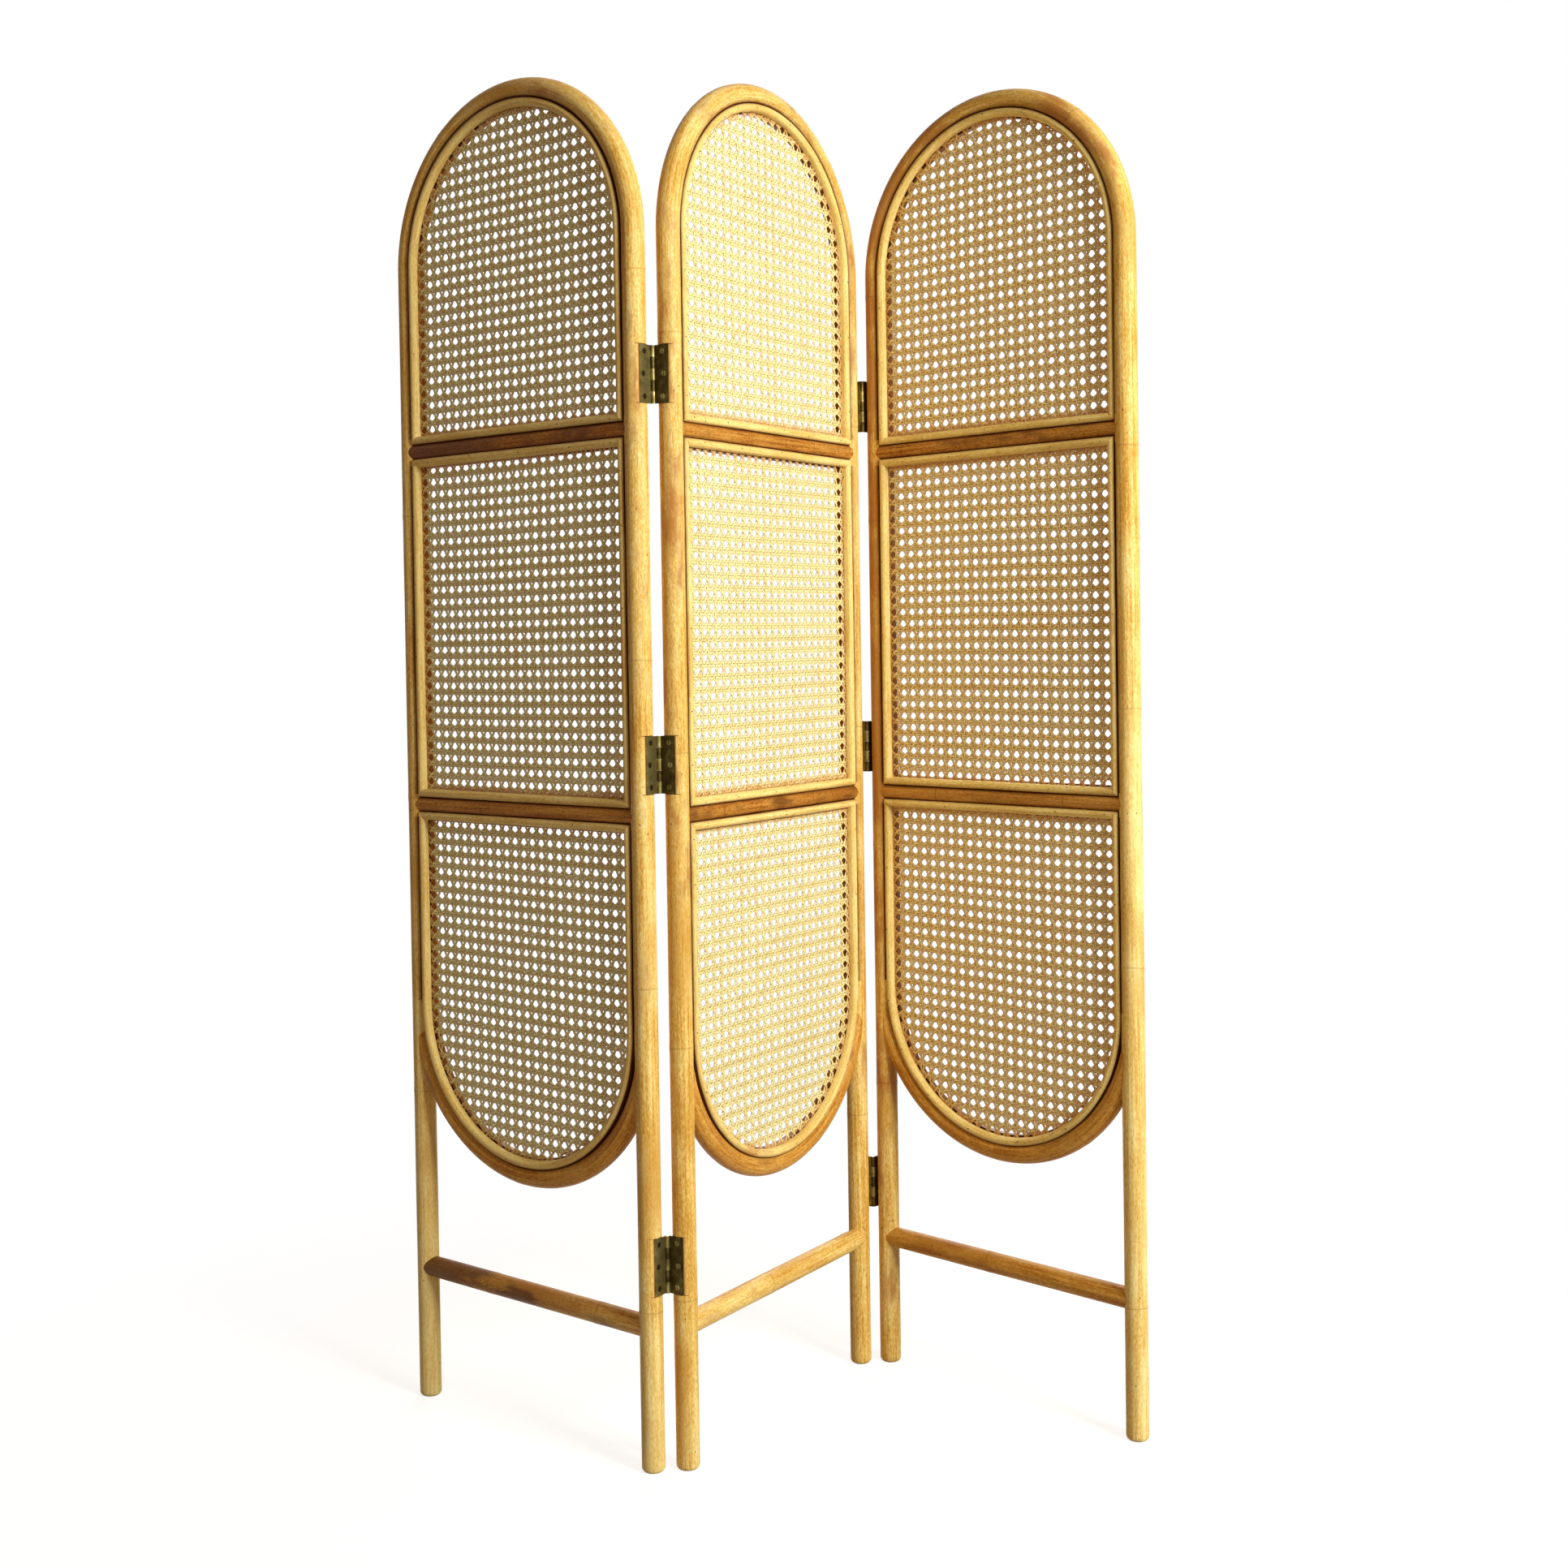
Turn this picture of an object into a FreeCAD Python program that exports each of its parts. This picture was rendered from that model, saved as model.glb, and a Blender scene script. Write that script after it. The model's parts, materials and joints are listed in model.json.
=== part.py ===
import FreeCAD, Part
import math
import os

# Folding screen of three arched panels: bent rattan poles, woven cane and brass butt hinges.
# Lengths are millimetres and angles are degrees. Each panel is drawn in a frame of its own:
# x runs across it to the right, y runs to its rear, z is up, and the origin is on the floor
# midway between its two legs.

Vec = FreeCAD.Vector

# Panel
screen_height = 1720.0
leg_spacing = 406.0
pole_radius = 14.5
foot_rounding = 6.0

# Bars between the legs
upper_bar_height = 1265.0
lower_bar_height = 798.0
bar_radius = 13.0
stretcher_height = 176.0
stretcher_radius = 13.5
lower_rail_radius = 13.5
lower_rail_underside = 315.5
lower_rail_flare = 3.5
cope_gap = 0.1

# Nails that hold the bars and the lower rail in the legs
nail_radius = 1.0
nail_length = 48.0
nail_depth = 1.0
nail_offset = 4.0
nail_gap = 0.05
rail_nail_rise = 112.0

# Half-round beads that hold the cane
bead_half_width = 5.3
bead_middle = 1.7
bead_crown = 8.5
bead_gap = 0.2
rear_bead_reach = 9.0
rear_bead_depth = 11.0
rear_bead_round = 3.0

# Cane, with its gaps drawn wider apart than the real weave
cane_thickness = 1.1
cane_depth = 3.0
cane_gap = 0.05
cane_edge = 0.8
weave_pitch = 15.8
drawn_pitch = 1.5 * weave_pitch
gap_radius = 0.28 * drawn_pitch

# Butt hinges
hinge_heights = {"low": 252.0, "mid": 860.0, "top": 1330.0}
hinge_length = 70.0
leaf_thickness = 2.0
leaf_width = 21.3
knuckle_radius = 3.0
knuckle_count = 5
knuckle_gap = 0.3
pin_radius = 1.5
pin_gap = 0.05
notch_gap = 0.3
closed_gap = 0.8
folded_gap = 1.0

# Screws of the hinges
screw_radius = 1.6
screw_head_radius = 3.4
screw_head_height = 1.8
screw_length = 14.0
screw_tip = 3.0
screw_gap = 0.1
screw_slot = 0.9
screw_spread = 27.0
screw_distance = 13.5
screw_stagger = 2.0

# Folded stance: the angle of the middle panel, and the fold at each joint
middle_yaw = 56.0
left_fold = 95.0
right_fold = 100.0

# Worked out from the sizes above
half_spacing = leg_spacing / 2
arch_centre = screen_height - half_spacing - pole_radius
rail_bend = half_spacing + lower_rail_flare
rail_centre = lower_rail_underside + lower_rail_radius + rail_bend
bowl_centre = rail_centre - lower_rail_flare
pin_across = pole_radius + closed_gap / 2
pin_behind = pole_radius + folded_gap / 2
flat_distance = pin_across - knuckle_radius
leaf_face = knuckle_radius - leaf_thickness
bead_reach = bead_middle + bead_half_width
cane_front = cane_depth + cane_thickness / 2
cane_rear = cane_depth - cane_thickness / 2
stock = 4 * pole_radius


def box(low, high):
    """Box between two opposite corners."""
    size = high - low
    return Part.makeBox(size.x, size.y, size.z, low)


def rod(start, end, radius):
    """Round rod between two points."""
    run = end - start
    return Part.makeCylinder(radius, run.Length, start, run)


def bent(face, height, turn):
    """Face at the left leg, swung half a turn about a level axis at a height."""
    return face.revolve(Vec(0, 0, height), Vec(0, turn, 0), 180)


def join(shapes):
    """One clean solid from touching shapes."""
    return shapes[0].fuse(shapes[1:]).removeSplitter()


def leg_pole(side, gap=0.0):
    """Leg as a plain rod, with room around it."""
    x = side * half_spacing
    return rod(Vec(x, 0, 0), Vec(x, 0, arch_centre), pole_radius + gap)


def frame_pole():
    """Pole bent into two legs with rounded feet and a half-circle arch."""
    legs = []
    for side in (-1, 1):
        leg = leg_pole(side)
        foot = [edge for edge in leg.Edges if edge.BoundBox.ZMax < foot_rounding]
        legs.append(leg.makeFillet(foot_rounding, foot))
    ring = Part.Wire(Part.makeCircle(pole_radius, Vec(-half_spacing, 0, arch_centre), Vec(0, 0, 1)))
    return join([bent(Part.Face(ring), arch_centre, 1)] + legs)


def coped_bar(height, radius):
    """Level round bar whose ends fit the round of the legs."""
    bar = rod(Vec(-half_spacing, 0, height), Vec(half_spacing, 0, height), radius)
    return bar.cut([leg_pole(side, cope_gap) for side in (-1, 1)])


def lower_rail():
    """Pole bent downwards, with both ends scarfed onto the legs."""
    ring = Part.makeCircle(lower_rail_radius, Vec(-rail_bend, 0, rail_centre), Vec(0, 0, 1))
    bend = bent(Part.Face(Part.Wire(ring)), rail_centre, -1)
    inside = box(Vec(-half_spacing, -stock, 0), Vec(half_spacing, stock, rail_centre))
    return bend.common(inside).cut([leg_pole(side, cope_gap) for side in (-1, 1)])


def nails(gap=0.0):
    """Headless nails, driven level from the outside of each leg."""
    heights = [lower_rail_underside + rail_nail_rise]
    for bar in (upper_bar_height, lower_bar_height, stretcher_height):
        heights += [bar - nail_offset, bar + nail_offset]
    found = []
    for side in (-1, 1):
        start = half_spacing + pole_radius - nail_depth
        for height in heights:
            # A hole runs on to the outside of the leg, because the nail is set below its skin.
            head = Vec(side * (start + (stock if gap else 0)), 0, height)
            tip = Vec(side * (start - nail_length - gap), 0, height)
            found.append(rod(head, tip, nail_radius + gap))
    return found


def front_bead_face(radius):
    """Section of a front bead beside a pole at the origin: x away from the pole, -y to the front."""
    seat = radius + bead_gap
    middle = radius + bead_middle
    inner = middle + bead_half_width
    base = cane_front + cane_gap
    # The bead's round crown meets the round of the pole where two circles cross.
    span = math.hypot(middle, bead_crown)
    along = (seat ** 2 - bead_half_width ** 2 + span ** 2) / (2 * span)
    aside = math.sqrt(seat ** 2 - along ** 2)
    meet_x = (along * middle - aside * bead_crown) / span
    meet_f = (along * bead_crown + aside * middle) / span
    seat_x = math.sqrt(seat ** 2 - base ** 2)
    half_turn = (math.atan2(meet_f, meet_x) + math.asin(base / seat)) / 2
    start = Vec(seat_x, -base, 0)
    side_low = Vec(inner, -base, 0)
    side_high = Vec(inner, -bead_crown, 0)
    crown = Vec(middle, -bead_crown - bead_half_width, 0)
    meet = Vec(meet_x, -meet_f, 0)
    hollow = Vec(seat * math.cos(half_turn), -seat * math.sin(half_turn), 0)
    edges = [
        Part.makeLine(start, side_low),
        Part.makeLine(side_low, side_high),
        Part.Arc(side_high, crown, meet).toShape(),
        Part.Arc(meet, hollow, start).toShape(),
    ]
    return Part.Face(Part.Wire(edges))


def rear_bead_face(radius):
    """Section of a rear bead beside a pole at the origin, behind the cane."""
    # Beside legs and bars the hollow has the thicker pole's round, so that mitred ends match.
    thicker = max(pole_radius, bar_radius)
    seat = thicker + bead_gap
    inner = thicker + rear_bead_reach
    top = cane_rear - cane_gap
    base = top - rear_bead_depth
    start = Vec(math.sqrt(seat ** 2 - top ** 2), -top, 0)
    side_high = Vec(inner, -top, 0)
    side_low = Vec(inner, -base - rear_bead_round, 0)
    corner = Vec(inner - rear_bead_round, -base, 0)
    end = Vec(math.sqrt(seat ** 2 - base ** 2), -base, 0)
    bulge = rear_bead_round * (1 - math.sqrt(0.5))
    edges = [
        Part.makeLine(start, side_high),
        Part.makeLine(side_high, side_low),
        Part.Arc(side_low, Vec(inner - bulge, -base - bulge, 0), corner).toShape(),
        Part.makeLine(corner, end),
        Part.Arc(end, Vec(seat, 0, 0), start).toShape(),
    ]
    face = Part.Face(Part.Wire(edges))
    face.translate(Vec(radius - thicker, 0, 0))
    return face


def mitre_prism(points):
    """Upright outline in the panel's plane, as a thick plate that trims mitred ends."""
    corners = [Vec(x, -stock, z) for x, z in points]
    outline = Part.makePolygon(corners + corners[:1])
    return Part.Face(outline).extrude(Vec(0, 2 * stock, 0))


def rail_bead(section, height, way):
    """Level bead above (way 1) or below (way -1) a crossbar, mitred at both ends."""
    face = section(bar_radius)
    face.rotate(Vec(0, 0, 0), Vec(0, 1, 0), -90)
    face.translate(Vec(-half_spacing, 0, 0))
    strip = face.extrude(Vec(leg_spacing, 0, 0))
    wide = half_spacing - (pole_radius - bar_radius)
    narrow = wide - 2 * bar_radius
    strip = strip.common(
        mitre_prism([(-wide, 0), (wide, 0), (narrow, 2 * bar_radius), (-narrow, 2 * bar_radius)])
    )
    if way < 0:
        strip.rotate(Vec(0, 0, 0), Vec(0, 1, 0), 180)
    strip.translate(Vec(0, 0, height))
    return strip


def upright_strip(section, low, high):
    """Straight bead at the left leg."""
    face = section(pole_radius)
    face.translate(Vec(-half_spacing, 0, low))
    return face.extrude(Vec(0, 0, high - low))


def mitre_line(bar_height, way):
    """Two points of the mitre at the left leg, above or below a crossbar."""
    deep = 2 * pole_radius
    return [
        (-half_spacing, bar_height + way * (bar_radius - pole_radius)),
        (-half_spacing + deep, bar_height + way * (bar_radius - pole_radius + deep)),
    ]


def stile_bead(section, side):
    """Upright bead of the middle section, mitred at both ends."""
    strip = upright_strip(section, lower_bar_height, upper_bar_height)
    low = mitre_line(lower_bar_height, 1)
    high = mitre_line(upper_bar_height, -1)
    strip = strip.common(mitre_prism(low + high[::-1]))
    return strip if side < 0 else strip.mirror(Vec(0, 0, 0), Vec(1, 0, 0))


def round_bead(section, bend_centre, turn, bar_height):
    """Bead that leaves a crossbar, follows a round end and comes back to the crossbar."""
    strip = upright_strip(section, min(bar_height, bend_centre), max(bar_height, bend_centre))
    mitre = mitre_line(bar_height, turn)
    strip = strip.common(
        mitre_prism(mitre + [(mitre[1][0], bend_centre), (mitre[0][0], bend_centre)])
    )
    face = section(pole_radius)
    face.translate(Vec(-half_spacing, 0, bend_centre))
    bend = bent(face, bend_centre, turn)
    return join([strip, bend, strip.mirror(Vec(0, 0, 0), Vec(1, 0, 0))])


def bars_and_ways():
    """Each crossbar's height, with the side on which a bead lies."""
    return [(height, way) for height in (upper_bar_height, lower_bar_height) for way in (1, -1)]


def rear_beads():
    """Strips behind the cane, round all three sections."""
    strips = [rail_bead(rear_bead_face, height, way) for height, way in bars_and_ways()]
    strips += [stile_bead(rear_bead_face, side) for side in (-1, 1)]
    strips.append(round_bead(rear_bead_face, arch_centre, 1, upper_bar_height))
    strips.append(round_bead(rear_bead_face, bowl_centre, -1, lower_bar_height))
    return Part.makeCompound(strips)


def cane_sheet(low, high, round_at=None, turn=1):
    """Flat cane between two heights, with a half-circle beyond a height if it has a round end."""
    half = half_spacing - pole_radius - cane_edge
    corner = [Vec(-half, 0, low), Vec(half, 0, low), Vec(half, 0, high), Vec(-half, 0, high)]
    edges = [Part.makeLine(corner[k], corner[(k + 1) % 4]) for k in range(4)]
    if round_at is not None:
        tip = Vec(0, 0, round_at + turn * half)
        bow = Part.Arc(Vec(half, 0, round_at), tip, Vec(-half, 0, round_at)).toShape()
        edges[2 if turn > 0 else 0] = bow
    wires = [Part.Wire(Part.sortEdges(edges)[0])]
    wires += cane_gaps(low, high, round_at, turn)
    face = Part.makeFace(wires, "Part::FaceMakerBullseye")
    face.translate(Vec(0, -cane_front, 0))
    return face.extrude(Vec(0, cane_thickness, 0))


def cane_gaps(low, high, round_at, turn):
    """Round gaps on a square grid, all inside the beads."""
    half = half_spacing - pole_radius - bead_reach - gap_radius
    margin = bead_reach + gap_radius
    bottom = low + margin
    top = high - margin
    if round_at is not None:
        bottom = low + margin if turn > 0 else round_at - half
        top = round_at + half if turn > 0 else high - margin
    columns = int(2 * half / drawn_pitch) + 1
    rows = int((top - bottom) / drawn_pitch) + 1
    first_z = (bottom + top - (rows - 1) * drawn_pitch) / 2
    gaps = []
    for row in range(rows):
        z = first_z + row * drawn_pitch
        beyond = 0.0 if round_at is None else max(0.0, turn * (z - round_at))
        for column in range(columns):
            x = (column - (columns - 1) / 2) * drawn_pitch
            if math.hypot(x, beyond) <= half:
                gaps.append(Part.Wire(Part.makeCircle(gap_radius, Vec(x, 0, z), Vec(0, 1, 0))))
    return gaps


def cane_sheets():
    """The three pieces of cane of one panel."""
    edge = bar_radius + cane_edge
    return {
        "cane_top": cane_sheet(upper_bar_height + edge, arch_centre, arch_centre, 1),
        "cane_middle": cane_sheet(lower_bar_height + edge, upper_bar_height - edge),
        "cane_bottom": cane_sheet(bowl_centre, lower_bar_height - edge, bowl_centre, -1),
    }


def screw_places():
    """Distance from the pin and height of each screw in a leaf."""
    return [
        (screw_distance, -screw_spread),
        (screw_distance + screw_stagger, 0.0),
        (screw_distance, screw_spread),
    ]


def screw_blank(gap=0.0):
    """Countersunk screw that points along -x, with its head flush with a leaf's face."""
    into = Vec(-1, 0, 0)
    head = Part.makeCone(screw_head_radius + gap, screw_radius + gap, screw_head_height, Vec(), into)
    shank_end = Vec(screw_tip - screw_length, 0, 0)
    shank = rod(Vec(), shank_end, screw_radius + gap)
    tip = Part.makeCone(screw_radius + gap, 0, screw_tip, shank_end, into)
    return join([head, shank, tip])


def screw():
    """Screw with a slot across its head."""
    half = screw_slot / 2
    low = Vec(-screw_slot, -half, -screw_head_radius)
    high = Vec(screw_slot, half, screw_head_radius)
    return screw_blank().cut(box(low, high))


def leaf_screws(gap=None):
    """Screws of one leaf about its pin, or the holes for them when a gap is given."""
    found = []
    for distance, height in screw_places():
        piece = screw() if gap is None else screw_blank(gap)
        piece.translate(Vec(-leaf_face, -distance, height))
        found.append(piece)
    return found


def knuckles(first, radius, grow):
    """Every second part of the hinge's barrel, from the first one up."""
    step = hinge_length / knuckle_count
    found = []
    for k in range(first, knuckle_count, 2):
        low = -hinge_length / 2 + k * step - grow / 2
        found.append(rod(Vec(0, 0, low), Vec(0, 0, low + step + grow), radius))
    return found


def hinge_leaf(first):
    """Leaf on a right leg with its pin to the rear, the pin's middle at the origin."""
    half = hinge_length / 2
    plate = box(Vec(-knuckle_radius, -leaf_width, -half), Vec(-leaf_face, 0, half))
    plate = plate.cut(knuckles(1 - first, knuckle_radius + knuckle_gap, knuckle_gap))
    leaf = join([plate] + knuckles(first, knuckle_radius, -knuckle_gap))
    bore = rod(Vec(0, 0, -hinge_length), Vec(0, 0, hinge_length), pin_radius + pin_gap)
    return leaf.cut([bore] + leaf_screws(screw_gap))


def hinge_pin():
    """Plain pin as long as the hinge."""
    return rod(Vec(0, 0, -hinge_length / 2), Vec(0, 0, hinge_length / 2), pin_radius)


def at_hinge(shape, side, rear, height):
    """Copy of a hinge piece on a leg (side 1 right, -1 left), with its pin to the rear or front."""
    piece = shape.copy()
    if side < 0:
        piece = piece.mirror(Vec(0, 0, 0), Vec(1, 0, 0))
    if rear < 0:
        piece = piece.mirror(Vec(0, 0, 0), Vec(0, 1, 0))
    piece.translate(Vec(side * (half_spacing + pin_across), rear * pin_behind, height))
    return piece


def hinge_notch(side, height):
    """Flat that is cut across a pole for a hinge leaf."""
    half = hinge_length / 2 + notch_gap
    inner = half_spacing + flat_distance
    outer = half_spacing + stock
    low_x, high_x = sorted((side * inner, side * outer))
    return box(Vec(low_x, -stock, height - half), Vec(high_x, stock, height + half))


def turned(x, y, yaw):
    """Point of the floor plan, turned about the origin."""
    angle = math.radians(yaw)
    return Vec(
        x * math.cos(angle) - y * math.sin(angle),
        x * math.sin(angle) + y * math.cos(angle),
        0,
    )


class Panel:
    """One panel's name, place in the folded stance, and the legs that carry hinges."""

    def __init__(self, name, yaw, centre, hinged):
        self.name = name
        self.yaw = yaw
        self.centre = centre
        self.hinged = hinged

    def feet(self):
        return [self.centre + turned(side * half_spacing, 0, self.yaw) for side in (-1, 1)]

    def place(self, shape):
        piece = shape.copy()
        piece.rotate(Vec(0, 0, 0), Vec(0, 0, 1), self.yaw)
        piece.translate(self.centre)
        return piece


def stand_panels():
    """The three panels in their zigzag, with the whole centred on the origin."""
    pin = half_spacing + pin_across
    left_yaw = middle_yaw - left_fold
    right_yaw = middle_yaw - right_fold
    left_centre = turned(-pin, pin_behind, middle_yaw) - turned(pin, pin_behind, left_yaw)
    right_centre = turned(pin, -pin_behind, middle_yaw) - turned(-pin, -pin_behind, right_yaw)
    # Each hinged leg: the joint's name, the leg's side, and whether the pin is to the rear.
    panels = [
        Panel("left", left_yaw, left_centre, [("left_joint", 1, 1)]),
        Panel("middle", middle_yaw, Vec(), [("left_joint", -1, 1), ("right_joint", 1, -1)]),
        Panel("right", right_yaw, right_centre, [("right_joint", -1, -1)]),
    ]
    feet = [foot for panel in panels for foot in panel.feet()]
    across = [foot.x for foot in feet]
    deep = [foot.y for foot in feet]
    middle = Vec((min(across) + max(across)) / 2, (min(deep) + max(deep)) / 2, 0)
    for panel in panels:
        panel.centre = panel.centre - middle
    return panels


def panel_pieces():
    """The pieces that all three panels share, in the panel's own frame."""
    nail_holes = nails(nail_gap)
    pieces = {
        "lower_rail": lower_rail().cut(nail_holes),
        "upper_crossbar": coped_bar(upper_bar_height, bar_radius).cut(nail_holes),
        "lower_crossbar": coped_bar(lower_bar_height, bar_radius).cut(nail_holes),
        "stretcher": coped_bar(stretcher_height, stretcher_radius).cut(nail_holes),
        "joint_nails": Part.makeCompound(nails()),
        "arch_bead": round_bead(front_bead_face, arch_centre, 1, upper_bar_height),
        "rail_beads": Part.makeCompound(
            [rail_bead(front_bead_face, height, way) for height, way in bars_and_ways()]
        ),
        "stile_beads": Part.makeCompound([stile_bead(front_bead_face, side) for side in (-1, 1)]),
        "u_bead": round_bead(front_bead_face, bowl_centre, -1, lower_bar_height),
        "rear_beads": rear_beads(),
    }
    pieces.update(cane_sheets())
    return pieces


def build():
    """Every node of the screen by name."""
    nodes = {}
    shared = panel_pieces()
    pole = frame_pole().cut(nails(nail_gap))
    for panel in stand_panels():
        cuts = []
        screws = []
        for joint, side, rear in panel.hinged:
            first = 1 if panel.name == "middle" else 0
            pins = []
            for label, height in hinge_heights.items():
                leaf = at_hinge(hinge_leaf(first), side, rear, height)
                nodes[f"{joint}_{label}_leaf_{panel.name}"] = panel.place(leaf)
                cuts.append(hinge_notch(side, height))
                cuts += [at_hinge(hole, side, rear, height) for hole in leaf_screws(nail_gap)]
                screws += [at_hinge(piece, side, rear, height) for piece in leaf_screws()]
                pins.append(at_hinge(hinge_pin(), side, rear, height))
            if panel.name == "middle":
                nodes[f"{joint}_pins"] = panel.place(Part.makeCompound(pins))
        nodes[f"{panel.name}_frame"] = panel.place(pole.cut(cuts))
        nodes[f"{panel.name}_hinge_screws"] = panel.place(Part.makeCompound(screws))
        for name, shape in shared.items():
            nodes[f"{panel.name}_{name}"] = panel.place(shape)
    return nodes


def main():
    os.makedirs("parts", exist_ok=True)
    nodes = build()
    for name, shape in nodes.items():
        shape.exportStep(f"parts/{name}.step")
        solids = shape.Solids
        sound = all(solid.isValid() for solid in solids)
        print(f"{name}: {len(solids)} solid(s), {shape.Volume / 1000:.1f} cm3, valid {sound}")
    print(len(nodes), "nodes")


main()
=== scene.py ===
import json
import math

import bpy
import numpy as np
from mathutils import Matrix, Vector


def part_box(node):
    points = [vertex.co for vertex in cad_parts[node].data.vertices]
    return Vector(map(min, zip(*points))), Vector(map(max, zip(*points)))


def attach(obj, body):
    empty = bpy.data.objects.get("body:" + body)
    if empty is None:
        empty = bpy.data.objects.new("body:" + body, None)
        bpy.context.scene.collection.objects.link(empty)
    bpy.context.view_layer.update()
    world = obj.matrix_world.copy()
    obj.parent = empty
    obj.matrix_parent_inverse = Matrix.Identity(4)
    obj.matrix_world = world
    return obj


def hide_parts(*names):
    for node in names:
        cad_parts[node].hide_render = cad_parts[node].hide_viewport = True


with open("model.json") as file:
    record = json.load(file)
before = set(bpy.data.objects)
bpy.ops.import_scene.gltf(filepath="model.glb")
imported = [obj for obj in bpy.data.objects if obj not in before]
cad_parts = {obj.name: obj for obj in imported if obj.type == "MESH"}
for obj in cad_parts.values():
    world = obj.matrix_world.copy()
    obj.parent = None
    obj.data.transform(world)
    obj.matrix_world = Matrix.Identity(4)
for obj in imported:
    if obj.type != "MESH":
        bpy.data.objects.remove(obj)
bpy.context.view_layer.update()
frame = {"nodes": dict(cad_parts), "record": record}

# Looks of a folding screen of three arched panels: rattan poles and beads, woven cane, brass hinges.
# Lengths are metres. Each panel is drawn in a frame of its own: x runs across it to the right,
# y runs to its rear, z is up, and the origin is on the floor midway between its two legs.
# Paths run clockwise round a panel as seen from its front, so that the panel lies to their right.

MM = 0.001
UP = np.array([0.0, 0.0, 1.0])
feet = {mount["name"]: Vector(mount["pos_m"]) for mount in frame["record"]["mounts"]}


class Panel:
    """Name, body and place of one panel."""

    def __init__(self, name):
        left = feet[f"{name}_panel_left_foot"]
        right = feet[f"{name}_panel_right_foot"]
        self.name = name
        self.body = f"{name}_panel"
        self.centre = np.array((left + right) / 2)
        self.across = np.array((right - left).normalized())
        self.rear = np.array([-self.across[1], self.across[0], 0.0])

    def place(self, points):
        x, y, z = points[:, :1], points[:, 1:2], points[:, 2:]
        return self.centre + x * self.across + y * self.rear + z * UP

    def hinge_cuts(self):
        """Side of the panel and height range of each hinge leaf."""
        found = []
        for node in sorted(frame["nodes"]):
            if node.endswith(f"leaf_{self.name}"):
                low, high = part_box(node)
                side = np.sign((np.array((low + high) / 2) - self.centre) @ self.across)
                found.append((side, low.z, high.z))
        return found


def level_bar(node):
    """Height and radius of a level bar."""
    low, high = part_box(node)
    return (low.z + high.z) / 2, (high.z - low.z) / 2


# Sizes from the frame
panels = [Panel(name) for name in ("left", "middle", "right")]
leg_spacing = (feet["middle_panel_right_foot"] - feet["middle_panel_left_foot"]).length
half_spacing = leg_spacing / 2
screen_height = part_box("middle_frame")[1].z
upper_bar_height, bar_radius = level_bar("middle_upper_crossbar")
lower_bar_height = level_bar("middle_lower_crossbar")[0]
stretcher_height, stretcher_radius = level_bar("middle_stretcher")
lower_rail_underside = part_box("middle_lower_rail")[0].z

# Sizes of the sections
pole_radius = 14.5 * MM
foot_rounding = 6.0 * MM
lower_rail_radius = 13.5 * MM
lower_rail_flare = 3.5 * MM
flat_distance = 11.9 * MM
kerf_width = 0.7 * MM
kerf_overrun = 2.6 * MM
bead_half_width = 5.3 * MM
bead_middle = 1.7 * MM
bead_crown = 8.5 * MM
bead_gap = 0.2 * MM
rear_bead_reach = 9.0 * MM
rear_bead_depth = 11.0 * MM
rear_bead_round = 3.0 * MM
mitre_gap = 0.12 * MM
cane_depth = 3.0 * MM
cane_edge = 0.8 * MM
cane_room = 0.6 * MM

# Worked out from the sizes above
arch_centre = screen_height - half_spacing - pole_radius
rail_bend = half_spacing + lower_rail_flare
rail_centre = lower_rail_underside + lower_rail_radius + rail_bend
bowl_centre = rail_centre - lower_rail_flare
mitre_step = pole_radius - bar_radius

# Small things on the rattan, a crease distance close enough for strong painted shade, and stand-ins for a
# crease or a node that is far away
node_swell = 0.3 * MM
node_length = 5 * MM
uneven_swell = 0.12 * MM
uneven_lengths = (0.07, 0.19)
wear_reach = 0.03
foot_face = 0.75
bead_drift = 0.03 * MM
near_crease_shade = 1.2 * MM
mitre_room = 30 * MM
brad_spacing = 85 * MM
brad_radius = 0.8 * MM
no_crease = 1.0
no_node = 1.0

# Distance between nodes along each kind of stem, and how much the painted shade along its creases is widened
frame_nodes, frame_shadow = 0.42, 1.5
crossbar_nodes, bar_shadow = 0.16, 0.9
stretcher_nodes = 0.19
rail_nodes, rail_shadow = 0.35, 0.6

# Fineness of the meshes
ring_step = 5.0 * MM
pole_sides = 40
bar_sides = 36
crown_steps = 12
sharp_angle = 40


def shell(points, quads, values):
    """Closed shell of quads, turned to face outwards."""
    corner = points[quads] - points.mean(axis=0)
    first = np.cross(corner[:, 1] - corner[:, 0], corner[:, 2] - corner[:, 0])
    second = np.cross(corner[:, 2] - corner[:, 0], corner[:, 3] - corner[:, 0])
    if np.sum((first + second) * corner[:, 0]) < 0:
        quads = quads[:, ::-1]
    return points, quads, values


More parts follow.
